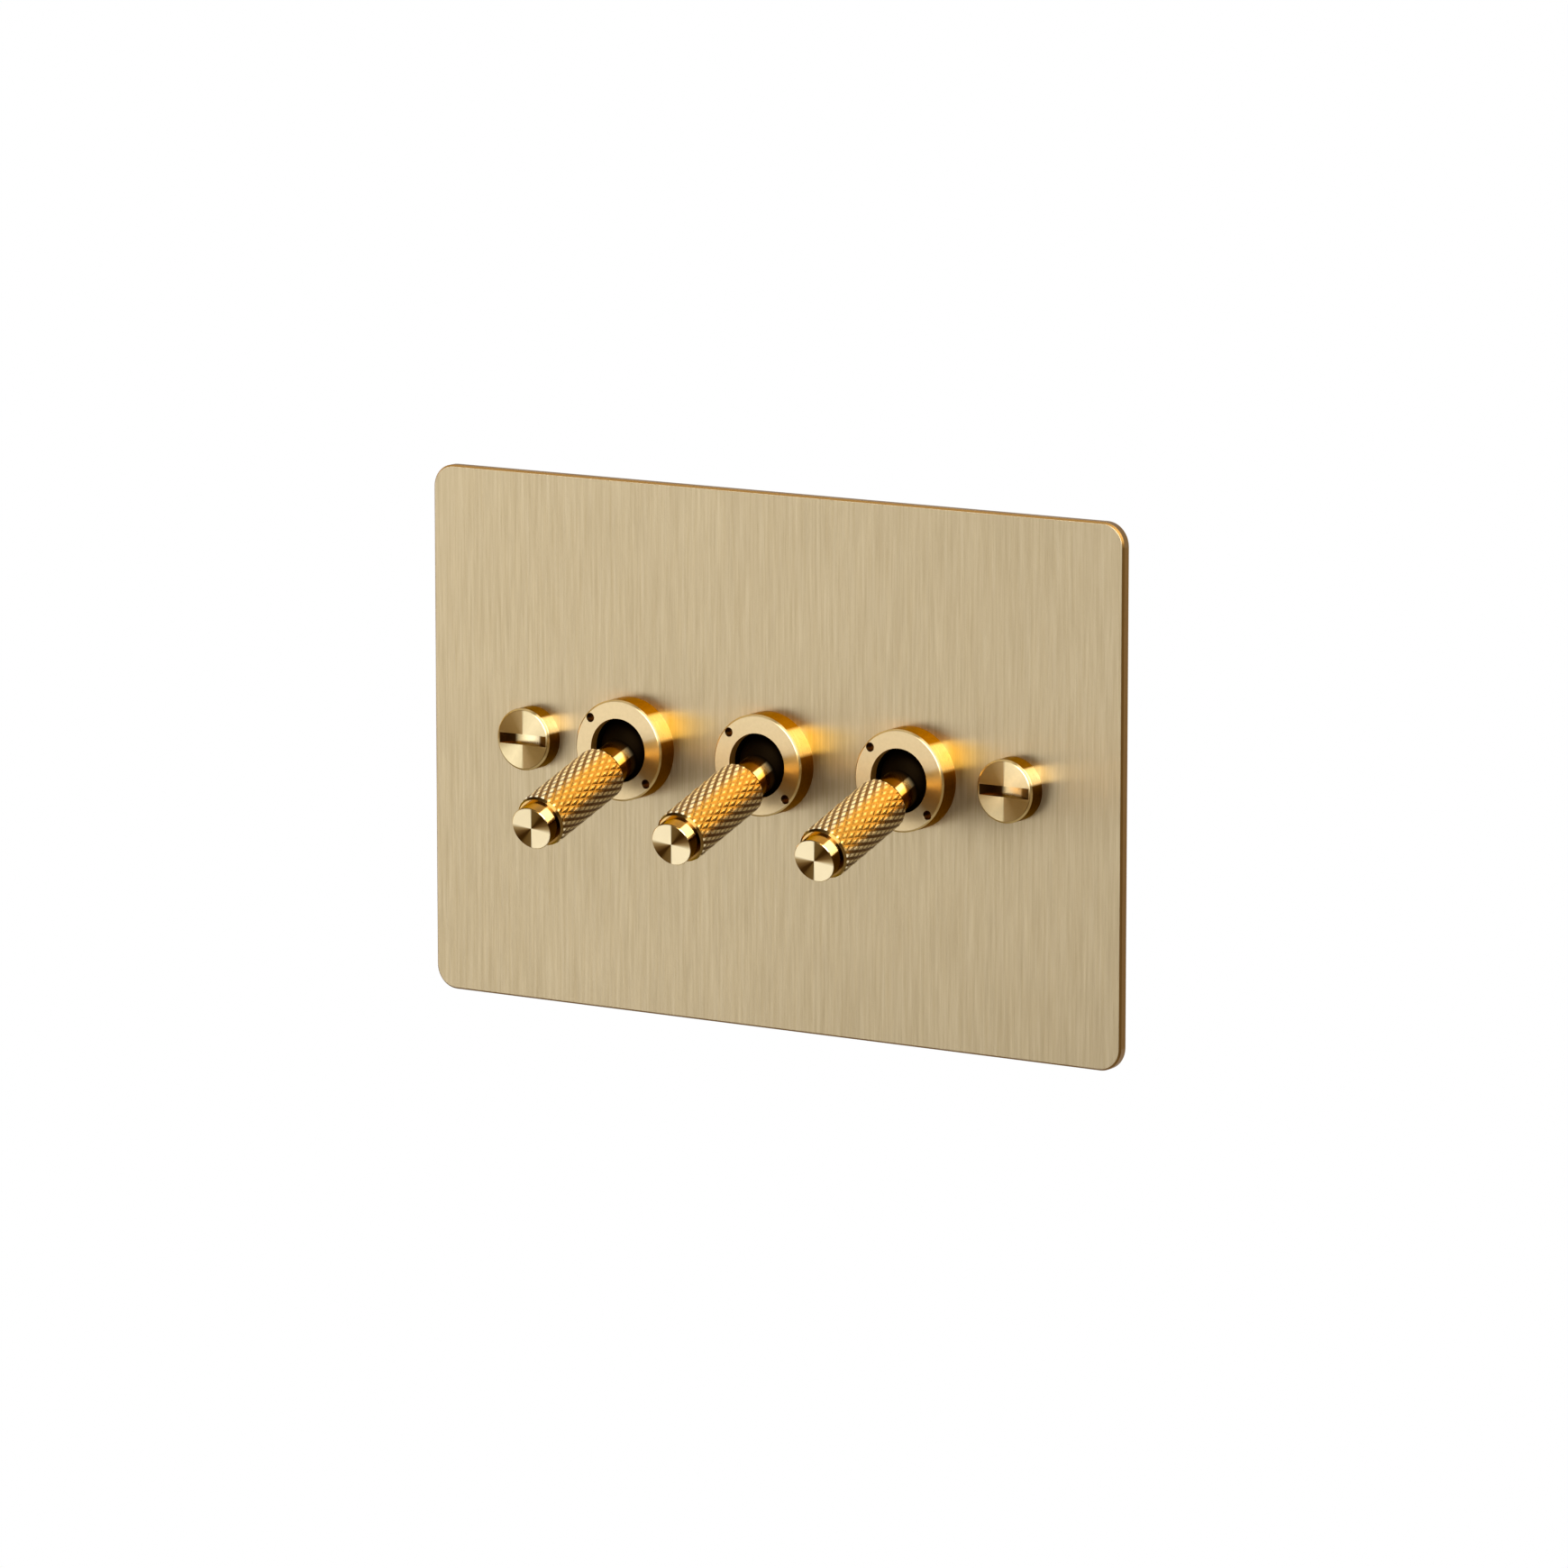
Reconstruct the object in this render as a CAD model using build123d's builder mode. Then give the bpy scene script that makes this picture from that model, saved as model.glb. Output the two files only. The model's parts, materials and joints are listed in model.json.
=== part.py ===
from build123d import *
from math import cos, radians, sin, sqrt
import os

# Triple toggle light switch: a brass plate with three toggle mechanisms behind it
# X runs along the plate, Z is up, and the wall is the plane y = 0 with the viewer on the -Y side

# Face plate and what lies against the wall
plate_width = 120.0
plate_height = 80.0
plate_thickness = 1.5
plate_corner_radius = 3.5
plate_edge_chamfer = 0.3
gasket_thickness = 0.8
gasket_band = 4.0
gasket_inset = 1.5
toggle_spacing = 24.5

# Fixing screws, with the slot cut by a small disc so that both its ends stay closed
fixing_spacing = 84.0
screw_head_radius = 4.7
screw_head_height = 3.0
screw_head_chamfer = 0.35
screw_shank_radius = 1.75
screw_shank_length = 25.0
screw_neck_radius = 1.4
screw_slot_width = 1.6
screw_slot_length = 8.4
screw_slot_depth = 1.7
screw_hole_gap = 0.15
retainer_radius = 3.5

# Bezel ring: a round nut with two holes for a pin spanner
ring_radius = 7.6
ring_height = 3.6
ring_chamfer = 0.3
ring_lip_thickness = 1.5
ring_lip_radius = 4.8
spanner_hole_radius = 0.7
spanner_hole_depth = 1.1
spanner_hole_offset = 6.7
spanner_hole_angle = 137.0

# Threaded bushing, drawn at its outer thread diameter, and its nut
bushing_radius = 6.0
bushing_bore_radius = 5.0
bushing_flange_radius = 7.2
bushing_flange_thickness = 1.0
bushing_hole_gap = 0.1
nut_width = 15.0
nut_thickness = 2.2
nut_chamfer_height = 0.5

# Lever: a turned bar with a ball at the pivot, and a knurled grip with a plain cap that closes over its end
lever_angle = 17.0
pivot_depth = 4.3
ball_radius = 4.8
stem_radius = 2.95
rod_end_chamfer = 0.5
grip_radius = 4.05
grip_start = 9.1
grip_length = 17.0
grip_start_chamfer = 0.2
grip_end_chamfer = 0.45
grip_end_wall = 1.0
grip_cap_radius = 3.3
grip_cap_length = 2.3
grip_cap_chamfer = 0.12
tail_radius = 2.2
tail_length = 11.0
pivot_pin_radius = 1.0
pin_end_gap = 0.2

# Plunger and spring in the lever's tail, with the round wire drawn six-sided
plunger_radius = 1.2
plunger_reach = 14.0
plunger_length = 7.0
plunger_bore_stop = 2.0
spring_wire_radius = 0.18
spring_turns = 5

# Rocker contact: a strip bent into a shallow V that stands on the common terminal
rocker_bend_angle = 25.0
rocker_tilt = 8.0
rocker_thickness = 0.7
rocker_arm_length = 9.0
rocker_width = 5.0
rocker_bend_radius = 0.25
snap_travel = 0.9

# Moulded switch body and the folded steel yoke that holds it
body_width = 20.0
body_height = 30.0
body_depth = 17.0
body_corner_radius = 1.0
body_back_wall = 3.5
cavity_width = 12.0
cavity_height = 22.0
guide_rib_height = 5.0
guide_rib_reach = 2.0
yoke_start = 2.0
yoke_thickness = 0.8
yoke_width = 15.0
yoke_tab_length = 2.5
yoke_bend_radius = 1.0

# Terminals on the back of each switch body
terminal_pitch = 8.0
terminal_width = 8.0
terminal_height = 5.6
terminal_depth = 6.5
terminal_edge_radius = 0.4
wire_hole_radius = 1.4
contact_radius = 1.2
contact_offset = 6.7
barrier_thickness = 1.2
barrier_overhang = 0.4
terminal_screw_radius = 1.2
terminal_screw_head_radius = 2.1
terminal_screw_head_height = 1.4
terminal_screw_slot_width = 0.6
terminal_screw_slot_depth = 0.7

# Earth terminal on the back of the plate
earth_block_width = 6.5
earth_block_height = 6.5
earth_block_depth = 7.5
earth_drop = 26.5

# Clearances between pieces that touch or turn on each other
seat_gap = 0.02
turning_gap = 0.05
loose_gap = 0.1

# Depths along Y that follow from the sizes above
plate_back = -gasket_thickness
plate_front = plate_back - plate_thickness
ring_front = plate_front - ring_height
bushing_front = ring_front + ring_lip_thickness + loose_gap
pivot_y = ring_front + pivot_depth
body_front = yoke_start + yoke_thickness
body_back = body_front + body_depth
cavity_back = body_back - body_back_wall
rocker_apex_depth = rocker_thickness / cos(radians(rocker_bend_angle))
rocker_pivot_y = pivot_y + plunger_reach + snap_travel + rocker_apex_depth
terminal_back = body_back + terminal_depth
toggle_places = {"left": -toggle_spacing, "middle": 0.0, "right": toggle_spacing}
earth_x = toggle_spacing / 2
rod_end = grip_start + grip_length - grip_end_wall - seat_gap


def facing_front(x, y, z=0.0):
    """A plane parallel to the face plate whose normal points at the viewer."""
    return Plane(origin=(x, y, z), x_dir=(1, 0, 0), z_dir=(0, -1, 0))


def facing_wall(x, y, z=0.0):
    """A plane parallel to the face plate whose normal points into the wall."""
    return Plane(origin=(x, y, z), x_dir=(-1, 0, 0), z_dir=(0, 1, 0))


def side_section(x):
    """The upright plane across the switch at x, with Y along it and Z up."""
    return Plane(origin=(x, 0, 0), x_dir=(0, 1, 0), z_dir=(1, 0, 0))


def lever_section(x):
    """The lever's own plane: its first axis runs out of the pivot along the lever."""
    tilt = radians(lever_angle)
    return Plane(origin=(x, pivot_y, 0), x_dir=(0, -cos(tilt), -sin(tilt)), z_dir=(1, 0, 0))


def lever_cross_section(x, distance):
    """A plane square to the lever at a distance from its pivot, facing outwards."""
    section = lever_section(x)
    return Plane(origin=section.origin + section.x_dir * distance, x_dir=(1, 0, 0), z_dir=section.x_dir)


def make_face_plate():
    with BuildPart() as plate:
        with BuildSketch(facing_front(0, plate_back)):
            RectangleRounded(plate_width, plate_height, plate_corner_radius)
            for x in toggle_places.values():
                with Locations((x, 0)):
                    Circle(bushing_radius + bushing_hole_gap, mode=Mode.SUBTRACT)
            with GridLocations(fixing_spacing, 0, 2, 1):
                Circle(screw_shank_radius + screw_hole_gap, mode=Mode.SUBTRACT)
        extrude(amount=plate_thickness)
        front_face = plate.faces().sort_by(Axis.Y)[0]
        chamfer(front_face.outer_wire().edges(), plate_edge_chamfer)
    return plate.part


def make_wall_gasket():
    outer_width = plate_width - 2 * gasket_inset
    outer_height = plate_height - 2 * gasket_inset
    with BuildPart() as gasket:
        with BuildSketch(facing_front(0, 0)):
            RectangleRounded(outer_width, outer_height, plate_corner_radius - gasket_inset)
            Rectangle(outer_width - 2 * gasket_band, outer_height - 2 * gasket_band, mode=Mode.SUBTRACT)
        extrude(amount=gasket_thickness)
    return gasket.part


def make_fixing_screw(x):
    half_slot = screw_slot_length / 2
    with BuildPart() as screw:
        with BuildSketch(facing_front(x, plate_front)):
            Circle(screw_head_radius)
        extrude(amount=screw_head_height)
        chamfer(screw.edges().sort_by(Axis.Y)[0], screw_head_chamfer)
        # The neck is thinner than the thread, so that the retainer's smaller bore holds the screw in the plate
        with BuildSketch(facing_wall(x, plate_front)):
            Circle(screw_neck_radius)
        extrude(amount=-plate_front)
        with BuildSketch(facing_wall(x, 0)):
            Circle(screw_shank_radius)
        extrude(amount=screw_shank_length + plate_front)
        chamfer(screw.edges().sort_by(Axis.Y)[-1], screw_shank_radius / 3)
        with BuildSketch(Plane(origin=(x, plate_front - screw_head_height, 0), z_dir=(0, 0, 1))):
            with BuildLine():
                Line((-half_slot, 0), (half_slot, 0))
                ThreePointArc((-half_slot, 0), (0, screw_slot_depth), (half_slot, 0))
            make_face()
        extrude(amount=screw_slot_width / 2, both=True, mode=Mode.SUBTRACT)
    return screw.part


def make_screw_retainer(x):
    with BuildPart() as retainer:
        with BuildSketch(facing_wall(x, plate_back)):
            Circle(retainer_radius)
            Circle(screw_neck_radius + seat_gap, mode=Mode.SUBTRACT)
        extrude(amount=gasket_thickness)
    return retainer.part


def make_bezel_ring(x):
    with BuildPart() as ring:
        with BuildSketch(facing_front(x, plate_front)):
            Circle(ring_radius)
        extrude(amount=ring_height)
        chamfer(ring.edges().sort_by(Axis.Y)[0], ring_chamfer)
        with BuildSketch(facing_front(x, plate_front)):
            Circle(bushing_radius + seat_gap)
        extrude(amount=ring_height - ring_lip_thickness, mode=Mode.SUBTRACT)
        with BuildSketch(facing_wall(x, ring_front)):
            Circle(ring_lip_radius)
        extrude(amount=ring_lip_thickness, mode=Mode.SUBTRACT)
        with BuildSketch(facing_front(x, ring_front)):
            with PolarLocations(spanner_hole_offset, 2, start_angle=spanner_hole_angle):
                Circle(spanner_hole_radius)
        extrude(amount=-spanner_hole_depth, mode=Mode.SUBTRACT)
    return ring.part


def make_threaded_bushing(x):
    with BuildPart() as bushing:
        with BuildSketch(facing_wall(x, bushing_front)):
            Circle(bushing_radius)
        extrude(amount=body_front - bushing_front)
        with BuildSketch(facing_wall(x, body_front)):
            Circle(bushing_flange_radius)
        extrude(amount=bushing_flange_thickness)
        with BuildSketch(facing_wall(x, bushing_front)):
            Circle(bushing_bore_radius)
        extrude(amount=body_front + bushing_flange_thickness - bushing_front, mode=Mode.SUBTRACT)
        with BuildSketch(side_section(x)):
            with Locations((pivot_y, 0)):
                Circle(pivot_pin_radius + seat_gap)
        extrude(amount=bushing_flange_radius, both=True, mode=Mode.SUBTRACT)
    return bushing.part


def make_lock_nut(x):
    corner_radius = nut_width / sqrt(3)
    with BuildPart() as nut:
        with BuildSketch(facing_wall(x, plate_back)):
            Circle(corner_radius)
        extrude(amount=nut_thickness)
        chamfer(nut.edges().sort_by(Axis.Y)[-1], nut_chamfer_height, corner_radius - nut_width / 2)
        with BuildSketch(facing_wall(x, plate_back)):
            RegularPolygon(nut_width / 2, 6, major_radius=False)
            Circle(bushing_radius + seat_gap, mode=Mode.SUBTRACT)
        extrude(amount=nut_thickness, mode=Mode.INTERSECT)
    return nut.part


def make_lever_rod(x):
    section = lever_section(x)
    stem_start = sqrt(ball_radius ** 2 - stem_radius ** 2)
    tail_start = sqrt(ball_radius ** 2 - tail_radius ** 2)
    with BuildPart() as rod:
        with BuildSketch(section):
            with BuildLine():
                Polyline(
                    (-tail_start, tail_radius),
                    (-tail_length, tail_radius),
                    (-tail_length, 0),
                    (rod_end, 0),
                    (rod_end, stem_radius - rod_end_chamfer),
                    (rod_end - rod_end_chamfer, stem_radius),
                    (stem_start, stem_radius),
                )
                ThreePointArc((stem_start, stem_radius), (0, ball_radius), (-tail_start, tail_radius))
            make_face()
        revolve(axis=Axis(section.origin, section.x_dir))
        with BuildSketch(lever_cross_section(x, -tail_length)):
            Circle(plunger_radius + loose_gap)
        extrude(amount=tail_length - plunger_bore_stop, mode=Mode.SUBTRACT)
        with BuildSketch(side_section(x)):
            with Locations((pivot_y, 0)):
                Circle(pivot_pin_radius + turning_gap)
        extrude(amount=ball_radius, both=True, mode=Mode.SUBTRACT)
    return rod.part


def make_knurled_grip(x):
    section = lever_section(x)
    lever_axis = Axis(section.origin, section.x_dir)
    with BuildPart() as grip:
        with BuildSketch(lever_cross_section(x, grip_start)):
            Circle(grip_radius)
        extrude(amount=grip_length)
        end_edges = grip.edges().filter_by(GeomType.CIRCLE).sort_by(lever_axis)
        chamfer(end_edges[0], grip_start_chamfer)
        chamfer(end_edges[-1], grip_end_chamfer)
        with BuildSketch(lever_cross_section(x, grip_start + grip_length)):
            Circle(grip_cap_radius)
        extrude(amount=grip_cap_length)
        chamfer(grip.edges().filter_by(GeomType.CIRCLE).sort_by(lever_axis)[-1], grip_cap_chamfer)
        with BuildSketch(lever_cross_section(x, grip_start)):
            Circle(stem_radius + seat_gap)
        extrude(amount=grip_length - grip_end_wall, mode=Mode.SUBTRACT)
    return grip.part


def make_pivot_pin(x):
    with BuildPart() as pin:
        with BuildSketch(side_section(x)):
            with Locations((pivot_y, 0)):
                Circle(pivot_pin_radius)
        extrude(amount=bushing_radius - pin_end_gap, both=True)
    return pin.part


def make_plunger(x):
    section = lever_section(x)
    round_start = plunger_reach - plunger_radius
    with BuildPart() as plunger:
        with BuildSketch(section):
            with BuildLine():
                Polyline(
                    (-plunger_reach, 0),
                    (-(plunger_reach - plunger_length), 0),
                    (-(plunger_reach - plunger_length), plunger_radius),
                    (-round_start, plunger_radius),
                )
                RadiusArc((-round_start, plunger_radius), (-plunger_reach, 0), -plunger_radius)
            make_face()
        revolve(axis=Axis(section.origin, section.x_dir))
    return plunger.part


def make_plunger_spring(x):
    coil_radius = plunger_radius - spring_wire_radius
    coil_start = plunger_bore_stop + spring_wire_radius + seat_gap
    coil_end = plunger_reach - plunger_length - spring_wire_radius - seat_gap
    coil_height = coil_end - coil_start
    coil_plane = lever_cross_section(x, -coil_end)
    with BuildPart() as spring:
        with BuildLine() as coil:
            Helix(coil_height / spring_turns, coil_height, coil_radius, coil_plane.origin, coil_plane.z_dir)
        with BuildSketch(Plane(origin=coil.line @ 0, z_dir=coil.line % 0)):
            RegularPolygon(spring_wire_radius, 6)
        sweep(path=coil.line, is_frenet=True)
    return spring.part


def make_rocker_contact(x):
    upper_lean = radians(rocker_bend_angle - rocker_tilt)
    lower_lean = radians(rocker_bend_angle + rocker_tilt)
    turn = radians(rocker_tilt)
    upper_end = (-rocker_arm_length * sin(upper_lean), rocker_arm_length * cos(upper_lean))
    lower_end = (-rocker_arm_length * sin(lower_lean), -rocker_arm_length * cos(lower_lean))
    upper_step = (-rocker_thickness * cos(upper_lean), -rocker_thickness * sin(upper_lean))
    lower_step = (-rocker_thickness * cos(lower_lean), rocker_thickness * sin(lower_lean))
    inner_bend = (-rocker_apex_depth * cos(turn), rocker_apex_depth * sin(turn))
    with BuildPart() as rocker:
        with BuildSketch(Plane(origin=(x, rocker_pivot_y, 0), x_dir=(0, 1, 0), z_dir=(1, 0, 0))):
            with BuildLine():
                Polyline(
                    (0, 0),
                    upper_end,
                    (upper_end[0] + upper_step[0], upper_end[1] + upper_step[1]),
                    inner_bend,
                    (lower_end[0] + lower_step[0], lower_end[1] + lower_step[1]),
                    lower_end,
                    close=True,
                )
            make_face()
        extrude(amount=rocker_width / 2, both=True)
        fillet(rocker.edges().filter_by(Axis.X).sort_by(Axis.Y)[-1], rocker_bend_radius)
    return rocker.part


def make_front_yoke(x):
    inner_height = body_height + 2 * loose_gap
    outer_height = inner_height + 2 * yoke_thickness
    outer_depth = body_depth + 2 * yoke_thickness
    middle_y = yoke_start + outer_depth / 2
    with BuildPart() as yoke:
        with BuildSketch(side_section(x)):
            with Locations((middle_y, 0)):
                RectangleRounded(outer_depth, outer_height, yoke_bend_radius)
                Rectangle(body_depth, inner_height, mode=Mode.SUBTRACT)
            with Locations((body_back + yoke_thickness / 2, 0)):
                Rectangle(yoke_thickness, inner_height - 2 * yoke_tab_length, mode=Mode.SUBTRACT)
        extrude(amount=yoke_width / 2, both=True)
        with BuildSketch(facing_wall(x, yoke_start)):
            Circle(bushing_radius + bushing_hole_gap)
        extrude(amount=yoke_thickness, mode=Mode.SUBTRACT)
    return yoke.part


def make_switch_body(x):
    barrier_depth = terminal_depth + barrier_overhang
    with BuildPart() as body:
        with BuildSketch(facing_wall(x, body_front)):
            RectangleRounded(body_width, body_height, body_corner_radius)
        extrude(amount=body_depth)
        with BuildSketch(facing_wall(x, body_front)):
            Circle(bushing_flange_radius + loose_gap)
        extrude(amount=bushing_flange_thickness + seat_gap, mode=Mode.SUBTRACT)
        with BuildSketch(facing_wall(x, body_front)):
            Rectangle(cavity_width, cavity_height)
        extrude(amount=cavity_back - body_front, mode=Mode.SUBTRACT)
        with BuildSketch(facing_front(x, cavity_back)):
            Rectangle(cavity_width, guide_rib_height)
            Rectangle(rocker_width + 2 * loose_gap, guide_rib_height, mode=Mode.SUBTRACT)
        extrude(amount=cavity_back - rocker_pivot_y + guide_rib_reach)
        with BuildSketch(facing_wall(x, cavity_back)):
            with Locations((0, 0), (0, contact_offset), (0, -contact_offset)):
                Circle(contact_radius + seat_gap)
        extrude(amount=body_back_wall, mode=Mode.SUBTRACT)
        with BuildSketch(facing_wall(x, body_back)):
            with GridLocations(0, terminal_pitch, 1, 2):
                Rectangle(body_width, barrier_thickness)
        extrude(amount=barrier_depth)
    return body.part


def make_terminal(x, block_z, post_z, tip_y):
    with BuildPart() as terminal:
        with BuildSketch(facing_wall(x, body_back, block_z)):
            Rectangle(terminal_width, terminal_height)
        extrude(amount=terminal_depth)
        fillet(terminal.edges().filter_by(Axis.Y), terminal_edge_radius)
        with BuildSketch(side_section(x)):
            with Locations((body_back + terminal_depth / 2, block_z)):
                Circle(wire_hole_radius)
        extrude(amount=terminal_width / 2, both=True, mode=Mode.SUBTRACT)
        with BuildSketch(facing_wall(x, terminal_back, block_z)):
            Circle(terminal_screw_radius + seat_gap)
        extrude(amount=-terminal_depth / 2, mode=Mode.SUBTRACT)
        with BuildSketch(side_section(x)):
            with BuildLine():
                Line((body_back, post_z), (tip_y, post_z))
                RadiusArc((tip_y, post_z), (tip_y + contact_radius, post_z + contact_radius), contact_radius)
                Polyline(
                    (tip_y + contact_radius, post_z + contact_radius),
                    (body_back, post_z + contact_radius),
                    (body_back, post_z),
                )
            make_face()
        revolve(axis=Axis((x, body_back, post_z), (0, 1, 0)))
    return terminal.part


def fixed_contact_tip():
    """How far the tip of an outer contact stands from the wall plane, so that it meets the tilted rocker."""
    lean = radians(rocker_bend_angle - rocker_tilt)
    reach = contact_radius + turning_gap
    return rocker_pivot_y + (reach - contact_offset * sin(lean)) / cos(lean) - contact_radius


def make_clamp_screw(x, z, back_y, length):
    with BuildPart() as screw:
        with BuildSketch(facing_wall(x, back_y, z)):
            Circle(terminal_screw_head_radius)
        extrude(amount=terminal_screw_head_height)
        with BuildSketch(facing_front(x, back_y, z)):
            Circle(terminal_screw_radius)
        extrude(amount=length)
        with BuildSketch(facing_front(x, back_y + terminal_screw_head_height, z)):
            Rectangle(2 * terminal_screw_head_radius, terminal_screw_slot_width)
        extrude(amount=terminal_screw_slot_depth, mode=Mode.SUBTRACT)
    return screw.part


def make_terminal_screws(x):
    places = (-terminal_pitch, 0, terminal_pitch)
    return Compound(children=[make_clamp_screw(x, z, terminal_back, terminal_depth / 2) for z in places])


def make_earth_terminal():
    with BuildPart() as block:
        with BuildSketch(facing_wall(earth_x, plate_back, -earth_drop)):
            Rectangle(earth_block_width, earth_block_height)
        extrude(amount=earth_block_depth)
        fillet(block.edges().filter_by(Axis.Y), terminal_edge_radius)
        with BuildSketch(side_section(earth_x)):
            with Locations((plate_back + earth_block_depth / 2, -earth_drop)):
                Circle(wire_hole_radius)
        extrude(amount=earth_block_width / 2, both=True, mode=Mode.SUBTRACT)
        with BuildSketch(facing_wall(earth_x, plate_back + earth_block_depth, -earth_drop)):
            Circle(terminal_screw_radius + seat_gap)
        extrude(amount=-earth_block_depth / 2, mode=Mode.SUBTRACT)
    return block.part


pieces = {
    "face_plate": make_face_plate(),
    "wall_gasket": make_wall_gasket(),
    "earth_terminal": make_earth_terminal(),
    "earth_screw": make_clamp_screw(earth_x, -earth_drop, plate_back + earth_block_depth, earth_block_depth / 2),
}

for side, x in (("left", -fixing_spacing / 2), ("right", fixing_spacing / 2)):
    pieces[f"{side}_fixing_screw"] = make_fixing_screw(x)
    pieces[f"{side}_screw_retainer"] = make_screw_retainer(x)

for side, x in toggle_places.items():
    pieces[f"{side}_bezel_ring"] = make_bezel_ring(x)
    pieces[f"{side}_threaded_bushing"] = make_threaded_bushing(x)
    pieces[f"{side}_lock_nut"] = make_lock_nut(x)
    pieces[f"{side}_lever_rod"] = make_lever_rod(x)
    pieces[f"{side}_knurled_grip"] = make_knurled_grip(x)
    pieces[f"{side}_pivot_pin"] = make_pivot_pin(x)
    pieces[f"{side}_plunger"] = make_plunger(x)
    pieces[f"{side}_plunger_spring"] = make_plunger_spring(x)
    pieces[f"{side}_rocker_contact"] = make_rocker_contact(x)
    pieces[f"{side}_front_yoke"] = make_front_yoke(x)
    pieces[f"{side}_switch_body"] = make_switch_body(x)
    pieces[f"{side}_common_terminal"] = make_terminal(x, 0, 0, rocker_pivot_y + turning_gap)
    outer_tip = fixed_contact_tip()
    pieces[f"{side}_upper_terminal"] = make_terminal(x, terminal_pitch, contact_offset, outer_tip)
    pieces[f"{side}_lower_terminal"] = make_terminal(x, -terminal_pitch, -contact_offset, outer_tip)
    pieces[f"{side}_terminal_screws"] = make_terminal_screws(x)

os.makedirs("parts", exist_ok=True)
for name, piece in pieces.items():
    piece.label = name
    export_step(piece, f"parts/{name}.step")
print(f"{len(pieces)} pieces written")
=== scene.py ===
import json
import math

import bpy
import numpy as np
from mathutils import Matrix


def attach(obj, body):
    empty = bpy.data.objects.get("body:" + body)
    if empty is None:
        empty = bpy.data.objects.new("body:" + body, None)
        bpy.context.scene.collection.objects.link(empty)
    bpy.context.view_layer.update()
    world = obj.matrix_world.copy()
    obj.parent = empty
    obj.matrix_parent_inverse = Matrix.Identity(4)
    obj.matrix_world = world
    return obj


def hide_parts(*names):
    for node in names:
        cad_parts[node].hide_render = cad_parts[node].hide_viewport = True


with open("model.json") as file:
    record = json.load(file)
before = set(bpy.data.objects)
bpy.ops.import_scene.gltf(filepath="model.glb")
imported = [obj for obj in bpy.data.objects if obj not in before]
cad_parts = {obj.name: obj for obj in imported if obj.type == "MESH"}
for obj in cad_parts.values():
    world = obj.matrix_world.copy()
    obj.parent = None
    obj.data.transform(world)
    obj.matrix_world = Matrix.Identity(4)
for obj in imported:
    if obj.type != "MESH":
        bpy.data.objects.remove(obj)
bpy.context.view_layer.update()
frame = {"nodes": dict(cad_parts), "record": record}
nodes = frame["nodes"]
toggleSpacing = 24.5      # mm
toggleSides = {"left": -toggleSpacing, "middle": 0.0, "right": toggleSpacing}
print("frame loaded,", len(nodes), "nodes")


def screenColour(red, green, blue):
    # a colour as it looks on a screen, 0 to 255, made linear
    return tuple(((c / 255 + 0.055) / 1.055) ** 2.4 if c > 10 else c / 3294.6 for c in (red, green, blue)) + (1.0,)


class Wire:
    # one socket in a node tree, so that shader maths is written as plain sums

    def __init__(self, tree, socket=None):
        self.tree = tree
        self.socket = socket

    def node(self, kind, settings=None, inputs=None, out=0):
        made = self.tree.nodes.new(kind)
        for key, value in (settings or {}).items():
            if key == "stops":
                while len(made.color_ramp.elements) < len(value):
                    made.color_ramp.elements.new(1.0)
                for stop, (place, colour) in zip(made.color_ramp.elements, value):
                    stop.position = place
                    stop.color = colour
            else:
                setattr(made, key, value)
        for key, value in (inputs or {}).items():
            if isinstance(value, Wire):
                self.tree.links.new(value.socket, made.inputs[key])
            else:
                made.inputs[key].default_value = value
        return Wire(self.tree, made.outputs[out] if len(made.outputs) else made)

    def sum(self, operation, first, second=0.0, third=0.0):
        return self.node("ShaderNodeMath", {"operation": operation}, {0: first, 1: second, 2: third})

    def __add__(self, other):
        return self.sum("ADD", self, other)

    def __radd__(self, other):
        return self.sum("ADD", other, self)

    def __sub__(self, other):
        return self.sum("SUBTRACT", self, other)

    def __rsub__(self, other):
        return self.sum("SUBTRACT", other, self)

    def __mul__(self, other):
        return self.sum("MULTIPLY", self, other)

    def __rmul__(self, other):
        return self.sum("MULTIPLY", other, self)

    def __truediv__(self, other):
        return self.sum("DIVIDE", self, other)

    def __gt__(self, other):
        return self.sum("GREATER_THAN", self, other)

    def ramp(self, low, high, start=0.0, end=1.0):
        # start below low, end above high, and a soft step between them
        return self.node("ShaderNodeMapRange", {"interpolation_type": "SMOOTHSTEP"},
                         {"Value": self, "From Min": low, "From Max": high, "To Min": start, "To Max": end})

    def stops(self, values):
        # a colour from stops of place and colour
        return self.node("ShaderNodeValToRGB", {"stops": values}, {"Fac": self})

    def mix(self, other, share, how="MIX"):
        # this colour towards the other one by share
        return self.node("ShaderNodeMix", {"data_type": "RGBA", "blend_type": how},
                         {0: share, 6: self, 7: other}, out=2)


def newMaterial(name):
    material = bpy.data.materials.new(name)
    material.use_nodes = True
    material.node_tree.nodes.clear()
    return material, Wire(material.node_tree)


def finishMaterial(start, colour, roughness, constants, normal=None, tangent=None, metallic=1.0):
    inputs = {"Base Color": colour, "Roughness": roughness, "Metallic": metallic}
    inputs.update(constants)
    if normal is not None:
        inputs["Normal"] = normal
    if tangent is not None:
        inputs["Tangent"] = tangent
    surface = start.node("ShaderNodeBsdfPrincipled", {}, inputs)
    start.node("ShaderNodeOutputMaterial", {}, {"Surface": surface})


def millimetres(start):
    # the piece's own coordinates in mm
    place = start.node("ShaderNodeTexCoord", {}, out=3)
    place = start.node("ShaderNodeVectorMath", {"operation": "SCALE"}, {0: place, "Scale": 1000.0})
    return [start.node("ShaderNodeSeparateXYZ", {}, {0: place}, out=n) for n in range(3)]


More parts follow.
